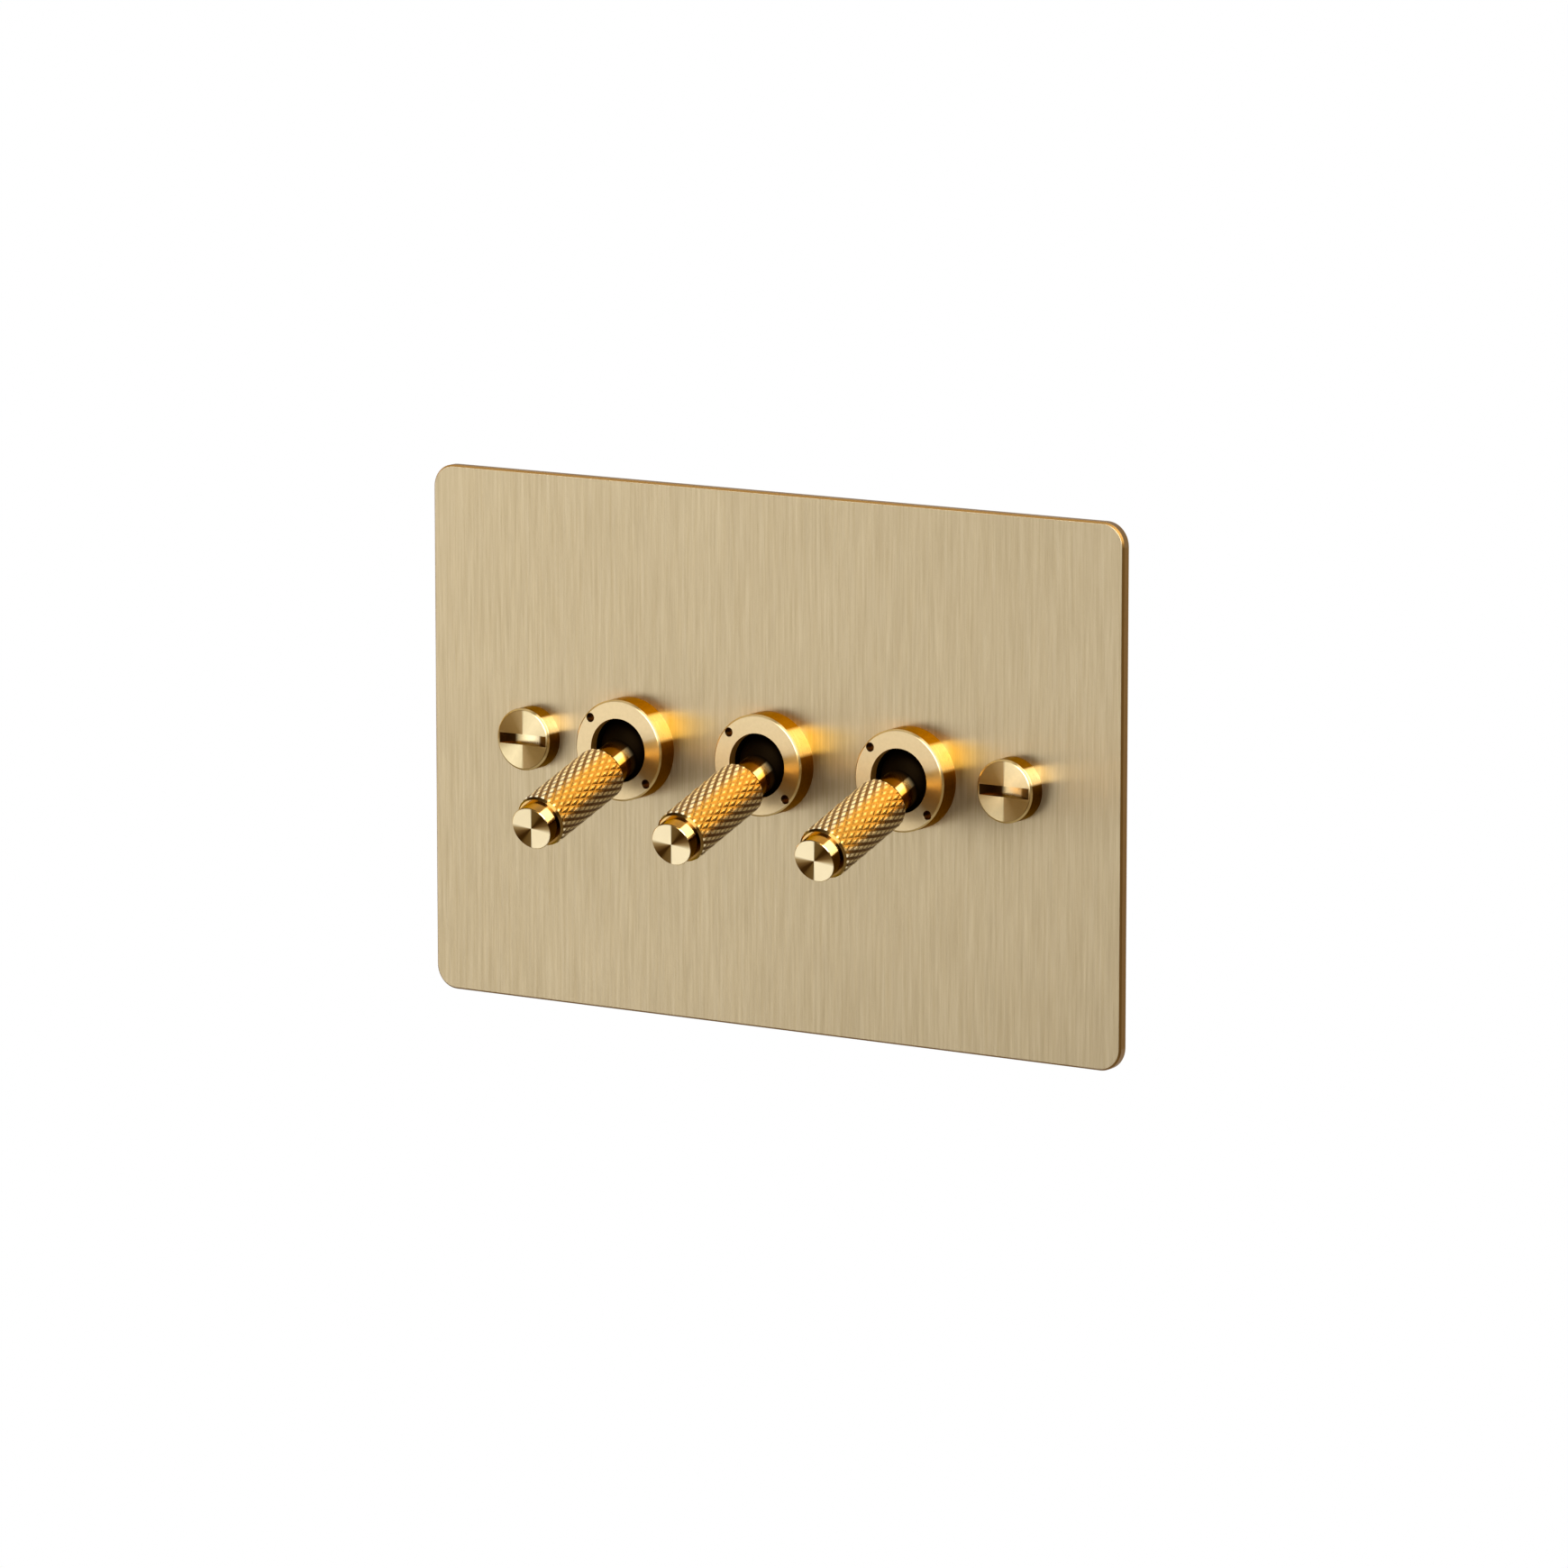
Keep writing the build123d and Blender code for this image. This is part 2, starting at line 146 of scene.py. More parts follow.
def joined(start, x, y, z):
    return start.node("ShaderNodeCombineXYZ", {}, {0: x, 1: y, 2: z})


def noise(start, x, y, z, detail=3.0, rough=0.6):
    return start.node("ShaderNodeTexNoise", {}, {"Vector": joined(start, x, y, z), "Scale": 1.0,
                                                "Detail": detail, "Roughness": rough})


def bump(start, height, strength, distance):
    return start.node("ShaderNodeBump", {}, {"Height": height, "Strength": strength, "Distance": distance})


def colourStops(*rows):
    # each row is a place from 0 to 1 and a screen colour
    return [(place, screenColour(*colour)) for place, *colour in rows]


def sectorStops(*rows):
    # The same by angle, anticlockwise from the viewer's right. turnedAngle starts at the viewer's left, so the
    # stops move half a turn.
    moved = sorted([((place + 0.5) % 1.0 if place < 1.0 else 0.4999, colour) for place, colour in colourStops(*rows)])
    return [(0.0, moved[0][1])] + moved[1:] + [(1.0, moved[0][1])]


def dimmed(stops, share):
    return [(place, tuple(part * share for part in colour[:3]) + (1.0,)) for place, colour in stops]


def turnedAngle(start, across, up):
    # 0 to 1 anticlockwise from the viewer's left, as the front is seen
    return start.sum("ARCTAN2", up, across) / (2 * math.pi) + 0.5


def fromOwnCentre(start, x):
    # distance from the nearest toggle's centre line
    return x - toggleSpacing * start.sum("ROUND", x / toggleSpacing)


plateFinish = {
    "streaks": colourStops((0.33, 178, 160, 125), (0.5, 194, 177, 143), (0.67, 208, 192, 159)),
    # painted shade: the plate's chamfer and side walls are painted a dark brown
    "edgeShade": screenColour(132, 98, 50),
    "back": screenColour(204, 174, 116),
    "glow": screenColour(255, 236, 168),      # painted reflection: a golden tint beside each ring, standing in for the ring's lit side reflected in the brushed surface
    "glowStart": (5.5, 7.0),        # mm to the right of a toggle's centre
    "glowFade": (6.0, 18.0),
    "glowBottom": (-2.0, 3.0),      # mm above the toggles' centres
    "glowTop": (4.6, 7.0),
    "glowLeftEnd": (-24.5, -23.5),  # mm along the plate
    "glowRightEnd": (34.0, 44.0),
    "frontDepth": 2.3,              # mm in front of the wall side of the frame
    "backDepth": 0.8,
    "roughness": 0.46,
    "grainBlur": 0.92,
}


def makeBrushedBrass():
    material, start = newMaterial("brushedBrass")
    x, y, z = millimetres(start)
    fine = noise(start, x * 8.0, y * 8.0, z * 0.16, 3.0)      # hair lines
    broad = noise(start, x * 2.2, y * 2.2, z * 0.07, 3.0)     # bands under half a millimetre wide
    clouds = noise(start, x * 0.03, y * 0.03, z * 0.02, 1.0)
    colour = (fine * 0.4 + broad * 0.5 + clouds * 0.1).stops(plateFinish["streaks"])
    past = x - toggleSpacing * start.sum("FLOOR", x / toggleSpacing)      # from the next toggle on the left
    # painted reflection of the rings' lit sides, as a golden tint beside each ring
    glow = past.ramp(*plateFinish["glowStart"]) * past.ramp(*plateFinish["glowFade"], 1.0, 0.0)
    glow = glow * x.ramp(*plateFinish["glowLeftEnd"]) * x.ramp(*plateFinish["glowRightEnd"], 1.0, 0.0)
    glow = glow * z.ramp(*plateFinish["glowBottom"]) * z.ramp(*plateFinish["glowTop"], 1.0, 0.0)
    colour = colour.mix(plateFinish["glow"], glow, "MULTIPLY")
    # painted shade on the chamfer and side walls
    colour = colour.mix(plateFinish["edgeShade"], (y + plateFinish["frontDepth"]).ramp(0.01, 0.05))
    colour = colour.mix(plateFinish["back"], (y + plateFinish["backDepth"]).ramp(-0.05, -0.01))
    roughness = fine.ramp(0.3, 0.7, plateFinish["roughness"] - 0.04, plateFinish["roughness"] + 0.04)
    tangent = joined(start, 1.0, 0.0, 0.0)      # the grain is upright, so gloss spreads sideways
    finishMaterial(start, colour, roughness, {"Anisotropic": plateFinish["grainBlur"]},
                   bump(start, fine, 0.12, 0.00003), tangent)
    return material


turnedFinish = {
    "edgeTint": screenColour(236, 206, 140),      # what a metal throws back at a glancing angle
    "faceRoughness": 0.44,
    "sideRoughness": 0.26,
    "grainBlur": 0.85,
    "toolMarks": 42.0,              # radians per mm of radius
    "faceEdge": (0.04, 0.12),       # mm behind the face
    "paintDepth": 0.06,
    "bevelEdge": (0.3, 0.36),
    "bevelInside": 4.0,             # mm from the centre
    # painted shade on the chamfer: darker at the upper right, by angle
    "bevel": sectorStops((0.00, 180, 152, 98), (0.04, 118, 100, 66), (0.17, 118, 100, 66), (0.21, 196, 168, 114),
                         (1.0, 180, 152, 98)),
}

ring = {
    "faceDepth": 5.9,               # mm in front of the wall side of the frame
    "lipEdge": (4.79, 4.83),        # mm from the centre
    "holeAcross": 4.9,
    "holeUp": 4.57,
    "holeEdge": (0.69, 0.74),       # mm from a spanner hole's centre
    # painted shade inside the spanner holes
    "hole": screenColour(88, 60, 26),
    "bore": screenColour(190, 136, 56),
    "boreFilm": 0.7,                # how dull the bore is
    # painted highlights and shade by angle round the ring's side: a bright patch at the upper right, dark below it
    "sidesPaintedLight": sectorStops((0.00, 140, 94, 26), (0.036, 130, 86, 20), (0.046, 250, 222, 152), (0.128, 248, 214, 134),
                         (0.140, 150, 100, 18), (0.26, 150, 102, 22), (0.40, 214, 172, 92), (0.60, 222, 180, 104),
                         (0.78, 176, 126, 50), (0.90, 136, 90, 22), (1.0, 140, 94, 26)),
    # the face's own colour, with a painted reflection of the lever, warm and darker at the right
    "face": sectorStops((0.00, 206, 160, 82), (0.045, 204, 168, 104), (0.062, 219, 198, 156), (0.50, 214, 193, 151),
                        (0.87, 219, 198, 156), (0.90, 186, 150, 94), (0.95, 182, 138, 72), (1.0, 206, 160, 82)),
}

screw = {
    "faceDepth": 5.3,               # mm in front of the wall side of the frame
    "centre": 42.0,                 # mm along the plate
    "slotEdge": (0.805, 0.825),     # mm above or below the slot's middle
    "slotEnd": (4.26, 4.3),         # mm from the centre
    "lowerWall": (-0.79, -0.76),    # mm above the slot's middle
    "slotSpan": 10.0,               # mm that the slots' stops cover
    "slotWall": screenColour(112, 78, 34),
    # painted shade at the ends of each slot and a painted highlight where the floor comes up
    "leftSlot": colourStops((0.0, 60, 36, 12), (0.28, 66, 40, 12), (0.33, 210, 190, 144), (0.70, 240, 222, 180),
                            (0.75, 112, 80, 38), (1.0, 88, 58, 24)),
    "rightSlot": colourStops((0.0, 50, 28, 8), (0.37, 58, 34, 10), (0.44, 210, 190, 144), (0.70, 240, 222, 180),
                             (0.75, 150, 120, 72), (1.0, 120, 92, 50)),
    # painted highlights and shade by angle round the screw's side, as on the rings
    "sidesPaintedLight": sectorStops((0.00, 96, 62, 16), (0.036, 104, 70, 22), (0.046, 246, 226, 180), (0.128, 240, 216, 164),
                         (0.140, 112, 80, 30), (0.26, 94, 64, 22), (0.40, 200, 164, 96), (0.60, 210, 176, 110),
                         (0.78, 160, 124, 62), (0.90, 120, 86, 34), (1.0, 96, 62, 16)),
    # painted highlights and shade: bright and dark fans by angle across the turned face
    "face": sectorStops((0.00, 160, 134, 88), (0.045, 236, 218, 172), (0.13, 250, 232, 186), (0.24, 236, 218, 172),
                        (0.256, 166, 138, 92), (0.34, 136, 106, 60), (0.45, 122, 92, 48), (0.53, 150, 122, 74),
                        (0.59, 236, 218, 172), (0.66, 250, 232, 186), (0.74, 236, 218, 172), (0.756, 168, 140, 94),
                        (0.85, 136, 108, 62), (0.95, 126, 98, 54), (1.0, 160, 134, 88)),
    "leftFaceShadeShare": 0.86,          # painted shade: the left screw's face is painted a little darker
}


def paintRing(start, colour, across, z, radius, deep):
    # the two spanner holes lie opposite each other, so one distance serves both
    holeAcross = start.sum("ABSOLUTE", across) - ring["holeAcross"]
    holeUp = z * start.sum("SIGN", across) + ring["holeUp"]
    hole = 1 - start.sum("SQRT", holeAcross * holeAcross + holeUp * holeUp).ramp(*ring["holeEdge"])
    bore = 1 - radius.ramp(*ring["lipEdge"])
    # painted shade in the spanner holes
    return colour.mix(ring["hole"], hole * deep).mix(ring["bore"], bore), 1 - bore * ring["boreFilm"]


def paintSlot(start, colour, across, z, radius, deep, slotStops):
    inside = deep * (1 - start.sum("ABSOLUTE", z).ramp(*screw["slotEdge"])) * (1 - radius.ramp(*screw["slotEnd"]))
    # painted shade and highlight along the slot
    slot = (across / screw["slotSpan"] + 0.5).stops(slotStops)
    return colour.mix(slot.mix(screw["slotWall"], 1 - z.ramp(*screw["lowerWall"])), inside)


def makeTurnedBrass(name, piece, face, centre=None, slotStops=None):
    # all three rings, or the screw whose centre and slot are given
    material, start = newMaterial(name)
    x, y, z = millimetres(start)
    across = fromOwnCentre(start, x) if centre is None else x - centre
    radius = start.sum("SQRT", across * across + z * z)
    turned = turnedAngle(start, across, z)
    toolMarks = start.sum("SINE", radius * turnedFinish["toolMarks"])
    speck = noise(start, x * 2.0, y * 12.0, z * 2.0)
    sideSpeck = noise(start, across * 0.3, y * 14.0, z * 0.3)
    behind = y + piece["faceDepth"]
    front = behind.ramp(*turnedFinish["faceEdge"], 1.0, 0.0)
    deep = behind > turnedFinish["paintDepth"]
    bevel = behind.ramp(*turnedFinish["bevelEdge"], 1.0, 0.0) * (radius > turnedFinish["bevelInside"])
    colour = sideSpeck.stops(colourStops((0.3, 214, 206, 196), (0.7, 255, 255, 255)))
    # painted highlights and shade by angle on the side
    colour = colour.mix(turned.stops(piece["sidesPaintedLight"]), 1.0, "MULTIPLY")
    faceColour = speck.stops(colourStops((0.3, 255, 255, 255), (0.7, 249, 249, 248)))
    # the face's painted highlights, shade and reflections by angle
    faceColour = faceColour.mix(turned.stops(face), 1.0, "MULTIPLY")
    # the chamfer's painted shade, then the face
    colour = colour.mix(turned.stops(turnedFinish["bevel"]), bevel).mix(faceColour, front)
    if centre is None:
        colour, metal = paintRing(start, colour, across, z, radius, deep)
    else:
        colour, metal = paintSlot(start, colour, across, z, radius, deep, slotStops), 1.0
    tangent = joined(start, 0.3, 1.0, 0.0)      # along the piece's axis on its side, sideways on its face
    roughness = front.ramp(0.0, 1.0, turnedFinish["sideRoughness"], turnedFinish["faceRoughness"]) + speck * 0.04
    constants = {"Anisotropic": turnedFinish["grainBlur"], "Specular Tint": turnedFinish["edgeTint"]}
    finishMaterial(start, colour, roughness, constants, bump(start, toolMarks, 0.05, 0.00001), tangent, metal)
    return material


lever = {
    "angle": 17.0,            # below level, as the photo shows them
    "pivotY": -1.6,           # mm
    "length": 28.4,
    "gripStart": 9.1,
    "gripEnd": 26.1,
    "gripRadius": 4.05,
    "boreRadius": 2.97,
    "boreEnd": 25.1,
    "startBevel": 0.2,
    "endBevel": 0.45,
    "capRadius": 3.3,
    "capBevel": 0.12,
    "diamonds": 24,           # round the grip
    "diamondLength": 2.5,
    "knurlDepth": 0.11,
    "flatTop": 0.1,           # share of a diamond that the knurl leaves untouched
    "steps": 8,               # mesh steps per diamond
}

leverFinish = {
    "ballEdge": (4.0, 6.4),         # mm from the pivot: painted dark as shade in the bore, and rougher, up to there
    "ball": screenColour(14, 8, 3),
    # painted highlight and shade by angle round the rod: a bright patch at the upper right
    "stemPaintedLight": sectorStops((0.00, 122, 82, 30), (0.048, 84, 52, 16), (0.056, 250, 226, 172), (0.128, 250, 226, 172),
                        (0.138, 84, 54, 20), (0.28, 66, 42, 16), (0.40, 160, 124, 68), (0.60, 196, 160, 102),
                        (0.76, 130, 94, 44), (0.86, 64, 40, 12), (0.95, 160, 116, 48), (1.0, 122, 82, 30)),
    # painted shade: the grip's end bevel is painted a dark brown
    "gripBevel": colourStops((0.3, 106, 78, 36), (0.7, 120, 92, 46)),
    # painted highlight and shade by angle round the shoulder
    "shoulder": sectorStops((0.00, 74, 48, 16), (0.12, 90, 62, 26), (0.20, 176, 142, 88), (0.50, 186, 152, 98),
                            (0.75, 120, 90, 46), (1.0, 74, 48, 16)),
    # painted highlight and shade by angle round the cap's side: a bright patch at the upper right
    "capSidePaintedLight": sectorStops((0.00, 84, 54, 16), (0.05, 70, 42, 10), (0.058, 250, 226, 172), (0.147, 250, 226, 172),
                           (0.155, 136, 102, 52), (0.28, 166, 130, 74), (0.42, 196, 162, 104), (0.70, 190, 154, 92),
                           (0.85, 130, 96, 44), (1.0, 84, 54, 16)),
    # painted highlights and shade: bright and dark fans by angle across the tip
    "tip": sectorStops((0.00, 168, 146, 106), (0.01, 144, 120, 80), (0.04, 96, 70, 36), (0.09, 52, 30, 8),
                       (0.12, 48, 28, 6), (0.15, 86, 62, 28), (0.214, 94, 72, 38), (0.228, 228, 212, 174),
                       (0.47, 228, 212, 174), (0.51, 144, 120, 80), (0.54, 96, 70, 36), (0.59, 52, 30, 8),
                       (0.62, 48, 28, 6), (0.65, 86, 62, 28), (0.714, 94, 72, 38), (0.728, 228, 212, 174),
                       (0.97, 228, 212, 174), (1.0, 168, 146, 106)),
    # painted highlights on the diamonds' peaks
    "dotHighlight": colourStops((0.3, 246, 226, 178), (0.7, 255, 242, 206)),
    # painted shade in the grooves
    "groove": colourStops((0.3, 96, 64, 22), (0.7, 116, 82, 34)),
    # painted reflection: deep gold on the grip's upper right, with painted highlights on its peaks
    "gold": colourStops((0.3, 166, 118, 42), (0.7, 182, 134, 54)),
    "goldDot": screenColour(224, 184, 104),
    "goldMiddle": 0.603,            # turned angle
    "goldEdge": (0.055, 0.11),      # away from it
}


def knurlRows():
    return int((lever["gripEnd"] - lever["gripStart"]) / lever["diamondLength"] * lever["steps"])


def knurlClimb():
    # diamonds per millimetre along the grip
    return knurlRows() / lever["steps"] / (lever["gripEnd"] - lever["gripStart"])


def leverPlace(start):
    # across the lever, along it from its pivot, and up square to both
    x, y, z = millimetres(start)
    slope = math.radians(lever["angle"])
    up = z * math.cos(slope) - (y - lever["pivotY"]) * math.sin(slope)
    along = 0 - (y - lever["pivotY"]) * math.cos(slope) - z * math.sin(slope)
    return fromOwnCentre(start, x), along, up


def makeLeverBrass():
    material, start = newMaterial("leverBrass")
    across, along, up = leverPlace(start)
    speck = noise(start, across * 0.4, along * 12.0, up * 0.4)
    colour = speck.stops(colourStops((0.3, 236, 230, 220), (0.7, 255, 255, 255)))
    # painted highlight and shade by angle round the rod
    colour = colour.mix(turnedAngle(start, across, up).stops(leverFinish["stemPaintedLight"]), 1.0, "MULTIPLY")
    # painted shade on the ball and the rod's inner end inside the bushing, which are also rougher
    ball = along.ramp(*leverFinish["ballEdge"], 1.0, 0.0)
    colour = colour.mix(leverFinish["ball"], ball)
    finishMaterial(start, colour, ball * 0.5 + 0.14, {"Specular Tint": turnedFinish["edgeTint"]},
                   bump(start, speck, 0.05, 0.00001))
    return material


def makeCapBrass():
    # the grip's plain end: bevel, shoulder and cap
    material, start = newMaterial("capBrass")
    across, along, up = leverPlace(start)
    radius = start.sum("SQRT", across * across + up * up)
    turned = turnedAngle(start, across, up)
    speck = noise(start, across * 0.4, along * 12.0, up * 0.4)
    onCap = along.ramp(lever["gripEnd"] + 0.01, lever["gripEnd"] + 0.03)
    onShoulder = (1 - onCap) * (along > lever["gripEnd"] - 0.02)
    onTip = along.ramp(lever["length"] - 0.08, lever["length"] - 0.03)
    # painted shade on the grip's end bevel, and painted highlights and shade by angle on the cap's side, the shoulder
    # and the tip
    colour = speck.stops(leverFinish["gripBevel"]).mix(turned.stops(leverFinish["capSidePaintedLight"]), onCap)
    colour = colour.mix(turned.stops(leverFinish["shoulder"]), onShoulder)
    colour = colour.mix(turned.stops(leverFinish["tip"]), onTip)
    toolMarks = start.sum("SINE", radius * turnedFinish["toolMarks"])
    finishMaterial(start, colour, onTip.ramp(0.0, 1.0, 0.14, 0.3), {"Specular Tint": turnedFinish["edgeTint"]},
                   bump(start, toolMarks, 0.05, 0.00001))
    return material


def makeKnurledBrass():
    # Painted light and shade: a painted deep gold reflection on its upper right. Elsewhere each diamond carries a
    # painted highlight at its peak, a little towards the viewer's left near the top of the grip and a little
    # downwards near its underside, and painted shade in the grooves.
    material, start = newMaterial("knurledBrass")
    across, along, up = leverPlace(start)
    speck = noise(start, across * 3.0, along * 3.0, up * 3.0)
    turned = turnedAngle(start, across, up)
    turns = turned * lever["diamonds"]
    climb = (along - lever["gripStart"]) * knurlClimb()
    first = start.sum("FRACT", turns + climb)
    second = start.sum("FRACT", turns - climb + 64.0)
    firstLeft, secondMiddle, firstMiddle, secondLow = [
        1 - start.sum("ABSOLUTE", wave - middle) * 2
        for wave, middle in ((first, 0.6), (second, 0.5), (first, 0.5), (second, 0.4))]
    leftDots = firstLeft.ramp(0.3, 0.7) * secondMiddle.ramp(0.1, 0.6, 0.25, 1.0)
    lowerDots = secondLow.ramp(0.3, 0.7) * firstMiddle.ramp(0.1, 0.6, 0.25, 1.0)
    goldDots = firstMiddle.ramp(0.35, 0.8) * secondMiddle.ramp(0.35, 0.8)
    dots = start.node("ShaderNodeMix", {}, {0: (turned - 0.5).ramp(0.1, 0.12), 2: lowerDots, 3: leftDots})
    colour = speck.stops(leverFinish["groove"]).mix(speck.stops(leverFinish["dotHighlight"]), dots)
    gold = speck.stops(leverFinish["gold"]).mix(leverFinish["goldDot"], goldDots)
    away = start.sum("ABSOLUTE", turned - leverFinish["goldMiddle"])
    colour = gold.mix(colour, away.ramp(*leverFinish["goldEdge"]))
    finishMaterial(start, colour, speck.ramp(0.3, 0.7, 0.2, 0.28), {})
    return material


def makePlainMetal(name, tones, roughness, grain=1.5, constants=None):
    material, start = newMaterial(name)
    x, y, z = millimetres(start)
    stain = noise(start, x * 0.35, y * 0.35, z * 0.35, 4.0)
    fine = noise(start, x * grain, y * grain * 5, z * grain, 4.0)
    colour = (stain * 0.6 + fine * 0.4).stops(tones)
    finishMaterial(start, colour, fine.ramp(0.3, 0.7, roughness - 0.05, roughness + 0.08), constants or {},
                   bump(start, fine, 0.08, 0.00004))
    return material


def makePlastic(name, tones, roughness, pebble, constants=None):
    material, start = newMaterial(name)
    x, y, z = millimetres(start)
    fine = noise(start, x * pebble, y * pebble, z * pebble, 3.0)
    broad = noise(start, x * 0.12, y * 0.12, z * 0.12, 2.0)
    colour = (fine * 0.5 + broad * 0.5).stops(tones)
    finishMaterial(start, colour, fine.ramp(0.3, 0.7, roughness - 0.06, roughness + 0.06), constants or {},
                   bump(start, fine, 0.2, 0.00005), metallic=0.0)
    return material


def twoTones(dark, light):
    return colourStops((0.35, *dark), (0.65, *light))


ringBrass = makeTurnedBrass("ringBrass", ring, ring["face"])
leftScrewBrass = makeTurnedBrass("leftScrewBrass", screw, dimmed(screw["face"], screw["leftFaceShadeShare"]),
                                 -screw["centre"], screw["leftSlot"])
rightScrewBrass = makeTurnedBrass("rightScrewBrass", screw, screw["face"], screw["centre"], screw["rightSlot"])
leverBrass = makeLeverBrass()
capBrass = makeCapBrass()
knurledBrass = makeKnurledBrass()
# painted shade: the bushing is painted near black for the dark inside of the bore
shadedBoreBrass = makePlainMetal("shadedBoreBrass", twoTones((14, 9, 4), (26, 17, 8)), 0.5,
                           constants={"Specular Tint": screenColour(40, 28, 14)})

slotMaterials = {
    "brushed_brass": makeBrushedBrass(),
    "knurled_brass": knurledBrass,
    "plain_brass": makePlainMetal("plainBrass", twoTones((196, 158, 88), (224, 190, 122)), 0.28),
    "bright_steel": makePlainMetal("brightSteel", twoTones((186, 186, 188), (222, 222, 224)), 0.22),
    "zinc_plated_steel": makePlainMetal("zincSteel", twoTones((168, 172, 176), (208, 210, 212)), 0.34, 0.8),
    "contact_copper": makePlainMetal("contactCopper", twoTones((196, 112, 76), (226, 146, 108)), 0.26),
    "black_moulding": makePlastic("blackMoulding", twoTones((24, 24, 26), (38, 38, 40)), 0.42, 7.0),
    "clear_nylon": makePlastic("clearNylon", twoTones((226, 224, 214), (240, 239, 232)), 0.35, 4.0,
                               {"Subsurface Weight": 0.2, "Subsurface Scale": 0.001}),
    "soft_gasket": makePlastic("softGasket", twoTones((60, 60, 62), (84, 84, 86)), 0.85, 5.0),
}


def pickMaterial(name, slotName):
    if name.endswith("bezel_ring"):
        return ringBrass
    if name == "left_fixing_screw":
        return leftScrewBrass
    if name == "right_fixing_screw":
        return rightScrewBrass
    if name.endswith("lever_rod"):
        return leverBrass
    if name.endswith("threaded_bushing"):
        return shadedBoreBrass
    return slotMaterials[slotName]


for row in frame["record"]["subparts"]:
    slots = nodes[row["node"]].data.materials
    slots.clear()
    slots.append(pickMaterial(row["node"], row["material_slot"]))
print("materials done")


def addMesh(name, points, faces, material):
    mesh = bpy.data.meshes.new(name)
    mesh.from_pydata(points.tolist(), [], faces.tolist())
    mesh.materials.append(material)
    mesh.update()
    piece = bpy.data.objects.new(name, mesh)
    bpy.context.scene.collection.objects.link(piece)
    return piece


def outward(points, faces):
    # turns the faces round if the volume that they enclose comes out negative
    a, b, c = (points[faces[:, n]] for n in range(3))
    volume = np.einsum("ij,ij->i", a, np.cross(b, c)).sum()
    return faces if volume > 0 else faces[:, ::-1]


def makeKnurledGrip(side, x):
    # Rows run along the lever and columns round it. Two sets of helical grooves cross, and the radius at a point
    # is the grip's less the knurl's depth times how far the point lies below the nearer groove's pyramid. More
    # rows of one radius each close it over the shoulder and the cap at one end and down the bore at the other.
    steps, columns = lever["steps"], lever["steps"] * lever["diamonds"]
    length = lever["gripEnd"] - lever["gripStart"]
    rows = knurlRows()
    row = np.arange(rows + 1)[:, None]
    column = np.arange(columns)[None, :]
    along = lever["gripStart"] + length * row / rows + 0.0 * column
    first = np.abs(((column + row) / steps) % 1.0 - 0.5) * 2
    second = np.abs(((column - row) / steps) % 1.0 - 0.5) * 2
    height = np.minimum((1.0 - np.maximum(first, second)) / (1.0 - lever["flatTop"]), 1.0)
    radius = lever["gripRadius"] - lever["knurlDepth"] * (1.0 - height)
    radius = np.minimum(radius, lever["gripRadius"] - lever["startBevel"] + along - lever["gripStart"])
    radius = np.minimum(radius, lever["gripRadius"] - lever["endBevel"] + lever["gripEnd"] - along)
    plainRows = [(lever["gripEnd"], lever["capRadius"]), (lever["length"] - lever["capBevel"], lever["capRadius"]),
                 (lever["length"], lever["capRadius"] - lever["capBevel"]), (lever["length"], 0.02),
                 (lever["boreEnd"], 0.02), (lever["boreEnd"], lever["boreRadius"]),
                 (lever["gripStart"], lever["boreRadius"])]
    plain = np.array(plainRows)[:, :, None] + np.zeros((1, 1, columns))
    along = np.vstack([along, plain[:, 0]])
    radius = np.vstack([radius, plain[:, 1]])
    total = len(along)
    angle = 2 * math.pi * column / columns + np.zeros((total, 1))
    slope = math.radians(lever["angle"])
    outX = radius * np.cos(angle)
    outUp = radius * np.sin(angle)
    points = np.stack([x + outX,
                       lever["pivotY"] - along * math.cos(slope) - outUp * math.sin(slope),
                       -along * math.sin(slope) + outUp * math.cos(slope)], axis=-1).reshape(-1, 3) / 1000
    r, c = np.meshgrid(np.arange(total), np.arange(columns), indexing="ij")
    nextRow, nextColumn = (r + 1) % total, (c + 1) % columns
    here, right = r * columns + c, r * columns + nextColumn
    above, both = nextRow * columns + c, nextRow * columns + nextColumn
    # each square is split along the groove that is nearer
    firstMiddle = np.abs(((c + r + 1.0) / steps) % 1.0 - 0.5)
    secondMiddle = np.abs(((c - r) / steps) % 1.0 - 0.5)
    other = (firstMiddle > secondMiddle)[..., None]
    one = np.where(other, np.stack([here, right, above], -1), np.stack([here, right, both], -1))
    two = np.where(other, np.stack([right, both, above], -1), np.stack([here, both, above], -1))
    faces = np.concatenate([one.reshape(-1, 3), two.reshape(-1, 3)])
    grip = addMesh(side + "_knurled_sleeve", points, outward(points, faces), knurledBrass)
    grip.data.materials.append(capBrass)
    plainEnd = ((r >= rows - 1) & (r < rows + 4)).reshape(-1)
    grip.data.polygons.foreach_set("material_index", np.tile(plainEnd, 2).astype(np.int32))
    return grip


for side, x in toggleSides.items():
    sleeve = makeKnurledGrip(side, x)
    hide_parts(side + "_knurled_grip")
    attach(sleeve, side + "_lever")
print("knurled sleeves done")

view = {"turn": 32.63, "rise": 9.84, "distance": 1.268, "aim": (0.00246, -0.0023, -0.00301), "lens": 198.04}


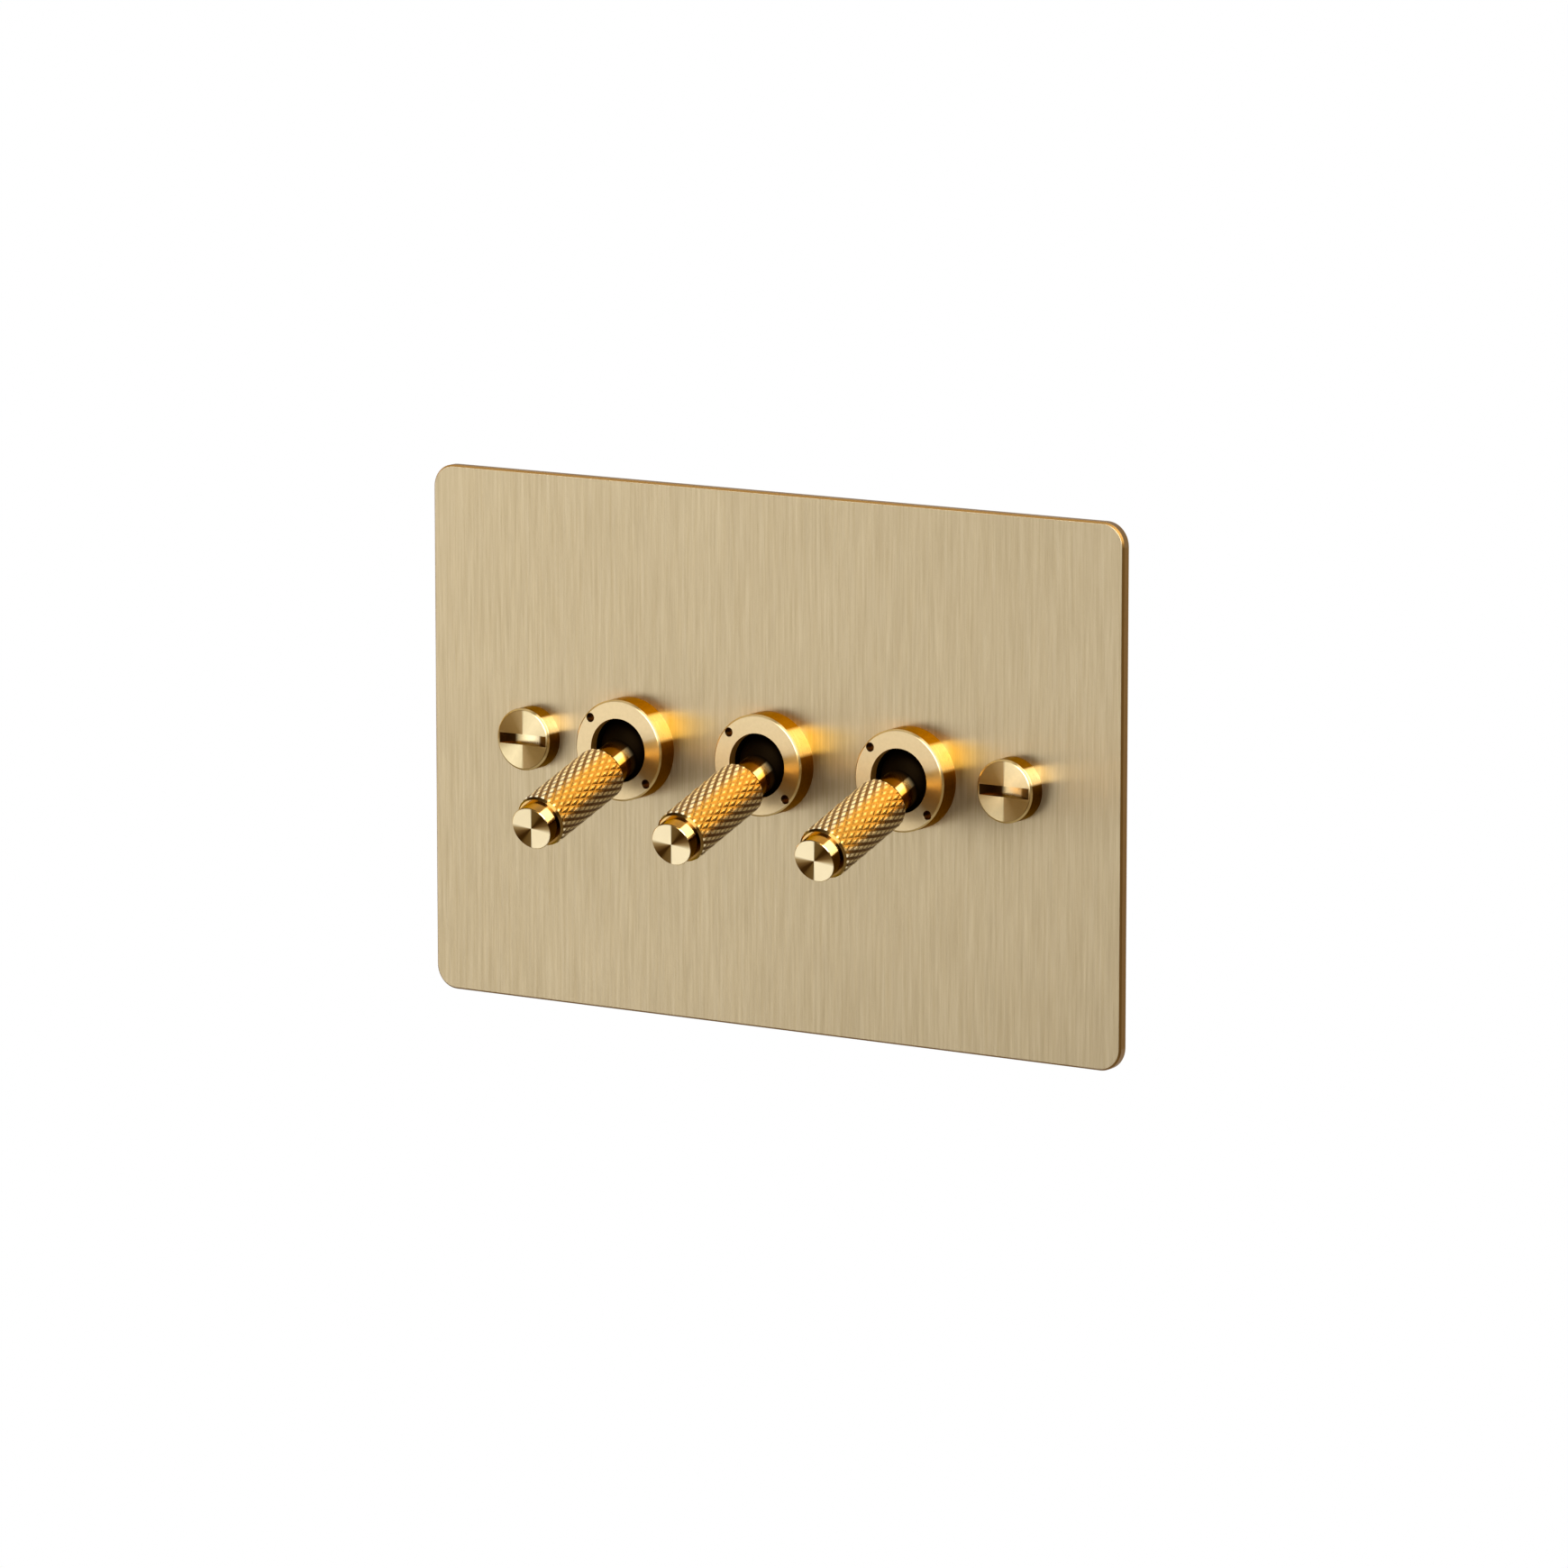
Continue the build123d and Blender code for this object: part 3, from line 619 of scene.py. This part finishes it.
def makeCamera():
    turn, rise = math.radians(view["turn"]), math.radians(view["rise"])
    away = np.array([math.sin(turn) * math.cos(rise), -math.cos(turn) * math.cos(rise), math.sin(rise)])
    camera = bpy.data.cameras.new("photoCamera")
    camera.lens = view["lens"]
    camera.sensor_width = 36.0
    camera.clip_start = 0.01
    piece = bpy.data.objects.new("photoCamera", camera)
    bpy.context.scene.collection.objects.link(piece)
    piece.location = np.array(view["aim"]) + away * view["distance"]
    piece.rotation_euler = (math.pi / 2 - rise, 0.0, turn)
    bpy.context.scene.camera = piece


makeCamera()

room = {
    "floorLevel": -0.55,
    "floorReach": 1.05,
    "floorTone": screenColour(238, 238, 238),
    "floorCorners": 96,
    "fill": 0.6,              # strength of the world as diffuse light, where the camera and reflections see 1
    "flagColumns": 25,
    "flagRows": 13,
}


def makeWorld():
    world = bpy.data.worlds.new("studio")
    world.use_nodes = True
    world.node_tree.nodes.clear()
    bpy.context.scene.world = world
    start = Wire(world.node_tree)
    rays = [start.node("ShaderNodeLightPath", {}, out=n) for n in (0, 3, 6)]
    seen = start.sum("MAXIMUM", start.sum("MAXIMUM", rays[0], rays[1]), rays[2])
    strength = seen * (1.0 - room["fill"]) + room["fill"]
    background = start.node("ShaderNodeBackground", {}, {"Color": (1, 1, 1, 1), "Strength": strength})
    start.node("ShaderNodeOutputWorld", {}, {"Surface": background})


makeWorld()


def makeFloor():
    material, start = newMaterial("paleFloor")
    x, y, z = millimetres(start)
    speck = noise(start, x * 0.02, y * 0.02, z * 0.02)
    tone = speck.stops([(0.3, room["floorTone"]), (0.7, screenColour(242, 242, 242))])
    matt = start.node("ShaderNodeBsdfPrincipled", {}, {"Base Color": tone, "Roughness": 0.9})
    plain = start.node("ShaderNodeEmission", {}, {"Color": (1, 1, 1, 1), "Strength": 1.0})
    rays = [start.node("ShaderNodeLightPath", {}, out=n) for n in (0, 3)]
    seen = start.sum("MAXIMUM", rays[0], rays[1])
    distance = start.sum("SQRT", x * x + y * y) / (1000 * room["floorReach"])
    both = start.node("ShaderNodeMixShader", {}, {0: seen * distance.ramp(0.2, 0.98, 0.4, 1.0), 1: matt, 2: plain})
    start.node("ShaderNodeOutputMaterial", {}, {"Surface": both})
    corners = room["floorCorners"]
    angle = np.linspace(0, 2 * math.pi, corners + 1)[:-1]
    rim = np.stack([np.cos(angle), np.sin(angle), 0 * angle], -1) * room["floorReach"]
    points = np.vstack([[(0, 0, 0)], rim]) + (0, 0, room["floorLevel"])
    corner = np.arange(corners)
    faces = np.stack([0 * corner, corner + 1, (corner + 1) % corners + 1], -1)
    addMesh("floor", points, faces, material)


makeFloor()


def makeFlag(name, turns, rises, distance, tone):
    # a dark curved screen that only reflections see: the part of a sphere between two turns and two rises
    material, start = newMaterial(name)
    glow = start.node("ShaderNodeEmission", {}, {"Color": tone, "Strength": 1.0})
    start.node("ShaderNodeOutputMaterial", {}, {"Surface": glow})
    columns, rows = room["flagColumns"], room["flagRows"]
    turn = np.radians(np.linspace(*turns, columns))[None, :]
    rise = np.radians(np.linspace(*rises, rows))[:, None]
    points = distance * np.stack([np.sin(turn) * np.cos(rise), -np.cos(turn) * np.cos(rise),
                                  np.sin(rise) + 0 * turn], -1)
    row, column = np.meshgrid(np.arange(rows - 1), np.arange(columns - 1), indexing="ij")
    here = (row * columns + column).reshape(-1)
    faces = np.stack([here, here + 1, here + columns + 1, here + columns], -1)
    flag = addMesh(name, points.reshape(-1, 3), faces, material)
    flag.visible_camera = flag.visible_diffuse = flag.visible_shadow = False


flags = {
    # name: turns from the plate's front towards the viewer's right, rises above level, distance, tone
    "frontFlag": ((-13, 8), (-50, 4), 0.62, screenColour(120, 108, 90)),
    "lowFlag": ((-75, -13), (-33, -21), 0.62, screenColour(142, 128, 102)),
    "rightFlag": ((8, 46), (-50, 8), 0.62, screenColour(92, 76, 54)),
    "sideFlag": ((46, 105), (-50, 12), 0.62, screenColour(215, 205, 190)),
    "aboveFlag": ((-75, 8), (9, 40), 1.5, screenColour(110, 96, 72)),
}
for name, values in flags.items():
    makeFlag(name, *values)

lamps = {
    # name: shape, turn, rise, distance, width, height, brightness of the panel's surface
    "leftLamp": ("RECTANGLE", -33, -16, 0.8, 0.72, 0.8, 1.27),
    "upperLamp": ("ELLIPSE", 41, 40, 1.6, 2.0, 2.0, 7.3),
}
for name, (shape, turn, rise, distance, width, height, brightness) in lamps.items():
    light = bpy.data.lights.new(name, "AREA")
    light.shape = shape
    light.size, light.size_y = width, height
    area = width * height * (math.pi / 4 if shape == "ELLIPSE" else 1.0)
    light.energy = brightness * math.pi * area
    lamp = bpy.data.objects.new(name, light)
    bpy.context.scene.collection.objects.link(lamp)
    turn, rise = math.radians(turn), math.radians(rise)
    lamp.location = (distance * math.sin(turn) * math.cos(rise), -distance * math.cos(turn) * math.cos(rise),
                     distance * math.sin(rise))
    lamp.rotation_euler = (math.pi / 2 - rise, 0.0, turn)
    lamp.visible_camera = False
    lamp.visible_diffuse = name != "upperLamp"      # a panel for reflections only
print("camera, floor and light done")

bpy.context.scene.view_settings.view_transform = "Standard"
